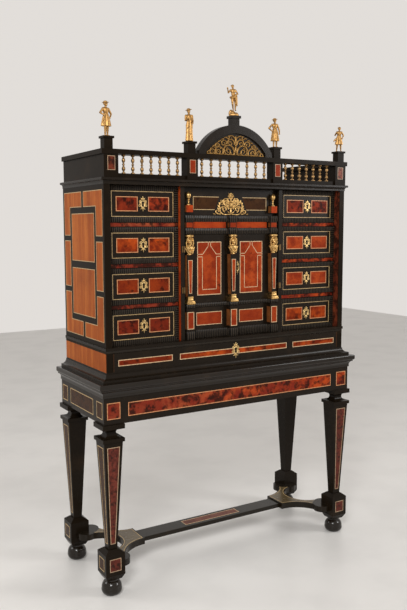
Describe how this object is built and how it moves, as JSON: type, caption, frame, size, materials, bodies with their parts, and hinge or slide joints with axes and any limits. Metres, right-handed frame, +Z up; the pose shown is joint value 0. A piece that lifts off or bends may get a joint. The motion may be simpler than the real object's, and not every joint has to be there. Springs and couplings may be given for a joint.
{
  "type": "cabinet on stand",
  "caption": "Ebonised cabinet on stand with red tortoiseshell drawers around a portico with doors, a gilt balustrade with figures, tapered legs and a flat stretcher.",
  "frame": {"origin": "centre of the bounding box, on the floor", "axes": "+Z up, the front faces -Y, +X to the right seen from the front"},
  "size_m": [1.2448, 0.4644, 1.974],
  "materials": {
    "ebonised_wood": "polished black-stained wood",
    "red_tortoiseshell": "polished red tortoiseshell veneer on wood",
    "rosewood_veneer": "polished orange-brown veneer",
    "oak": "plain waxed oak",
    "gilt_brass": "gilded brass",
    "pale_stringing": "pale inlaid stringing"
  },
  "bodies": {
    "case_and_stand": {"stand_feet": "ebonised_wood", "stand_leg_blocks": "ebonised_wood", "stand_legs": "ebonised_wood", "stand_stretcher": "ebonised_wood", "stand_apron": "ebonised_wood", "stand_top": "ebonised_wood", "carcase_bottom": "ebonised_wood", "carcase_top": "ebonised_wood", "carcase_sides": "rosewood_veneer", "carcase_back": "oak", "carcase_dividers": "ebonised_wood", "portico_entablature": "ebonised_wood", "hinge_case_leaves": "gilt_brass", "gallery_rails": "ebonised_wood", "gallery_posts": "ebonised_wood", "gallery_balusters": "gilt_brass", "pediment": "ebonised_wood", "pediment_mount": "gilt_brass", "figures": "gilt_brass"},
    "drawer_left_1": {"drawer_left_1_front": "ebonised_wood", "drawer_left_1_box": "oak", "drawer_left_1_lock": "gilt_brass"},
    "drawer_left_2": {"drawer_left_2_front": "ebonised_wood", "drawer_left_2_box": "oak", "drawer_left_2_lock": "gilt_brass"},
    "drawer_left_3": {"drawer_left_3_front": "ebonised_wood", "drawer_left_3_box": "oak", "drawer_left_3_lock": "gilt_brass"},
    "drawer_left_4": {"drawer_left_4_front": "ebonised_wood", "drawer_left_4_box": "oak", "drawer_left_4_lock": "gilt_brass"},
    "drawer_right_1": {"drawer_right_1_front": "ebonised_wood", "drawer_right_1_box": "oak", "drawer_right_1_lock": "gilt_brass"},
    "drawer_right_2": {"drawer_right_2_front": "ebonised_wood", "drawer_right_2_box": "oak", "drawer_right_2_lock": "gilt_brass"},
    "drawer_right_3": {"drawer_right_3_front": "ebonised_wood", "drawer_right_3_box": "oak", "drawer_right_3_lock": "gilt_brass"},
    "drawer_right_4": {"drawer_right_4_front": "ebonised_wood", "drawer_right_4_box": "oak", "drawer_right_4_lock": "gilt_brass"},
    "base_drawer": {"base_drawer_front": "ebonised_wood", "base_drawer_box": "oak", "base_drawer_lock": "gilt_brass"},
    "frieze_drawer": {"frieze_drawer_front": "ebonised_wood", "frieze_drawer_box": "oak", "frieze_drawer_mounts": "gilt_brass"},
    "plinth_drawer": {"plinth_drawer_front": "ebonised_wood", "plinth_drawer_box": "oak"},
    "door_left": {"door_left_leaf": "ebonised_wood", "door_left_pilaster": "red_tortoiseshell", "door_left_herm": "gilt_brass", "door_left_hinges": "gilt_brass"},
    "door_right": {"door_right_leaf": "ebonised_wood", "door_right_pilasters": "red_tortoiseshell", "door_right_herms": "gilt_brass", "door_right_lock": "gilt_brass", "door_right_hinges": "gilt_brass"}
  },
  "joints": [
    {"name": "drawer_left_1_slide", "type": "slide", "parent": "case_and_stand", "child": "drawer_left_1", "axis": [0, -1, 0], "range_m": [0, 0.24]},
    {"name": "drawer_left_2_slide", "type": "slide", "parent": "case_and_stand", "child": "drawer_left_2", "axis": [0, -1, 0], "range_m": [0, 0.24]},
    {"name": "drawer_left_3_slide", "type": "slide", "parent": "case_and_stand", "child": "drawer_left_3", "axis": [0, -1, 0], "range_m": [0, 0.24]},
    {"name": "drawer_left_4_slide", "type": "slide", "parent": "case_and_stand", "child": "drawer_left_4", "axis": [0, -1, 0], "range_m": [0, 0.24]},
    {"name": "drawer_right_1_slide", "type": "slide", "parent": "case_and_stand", "child": "drawer_right_1", "axis": [0, -1, 0], "range_m": [0, 0.24]},
    {"name": "drawer_right_2_slide", "type": "slide", "parent": "case_and_stand", "child": "drawer_right_2", "axis": [0, -1, 0], "range_m": [0, 0.24]},
    {"name": "drawer_right_3_slide", "type": "slide", "parent": "case_and_stand", "child": "drawer_right_3", "axis": [0, -1, 0], "range_m": [0, 0.24]},
    {"name": "drawer_right_4_slide", "type": "slide", "parent": "case_and_stand", "child": "drawer_right_4", "axis": [0, -1, 0], "range_m": [0, 0.24]},
    {"name": "base_drawer_slide", "type": "slide", "parent": "case_and_stand", "child": "base_drawer", "axis": [0, -1, 0], "range_m": [0, 0.28]},
    {"name": "frieze_drawer_slide", "type": "slide", "parent": "case_and_stand", "child": "frieze_drawer", "axis": [0, -1, 0], "range_m": [0, 0.24]},
    {"name": "plinth_drawer_slide", "type": "slide", "parent": "case_and_stand", "child": "plinth_drawer", "axis": [0, -1, 0], "range_m": [0, 0.24]},
    {"name": "door_left_hinge", "type": "hinge", "parent": "case_and_stand", "child": "door_left", "pos_m": [-0.233, -0.1761, 1.24175], "axis": [0, 0, -1], "range_deg": [0, 90]},
    {"name": "door_right_hinge", "type": "hinge", "parent": "case_and_stand", "child": "door_right", "pos_m": [0.233, -0.1761, 1.24175], "axis": [0, 0, 1], "range_deg": [0, 90]}
  ]
}
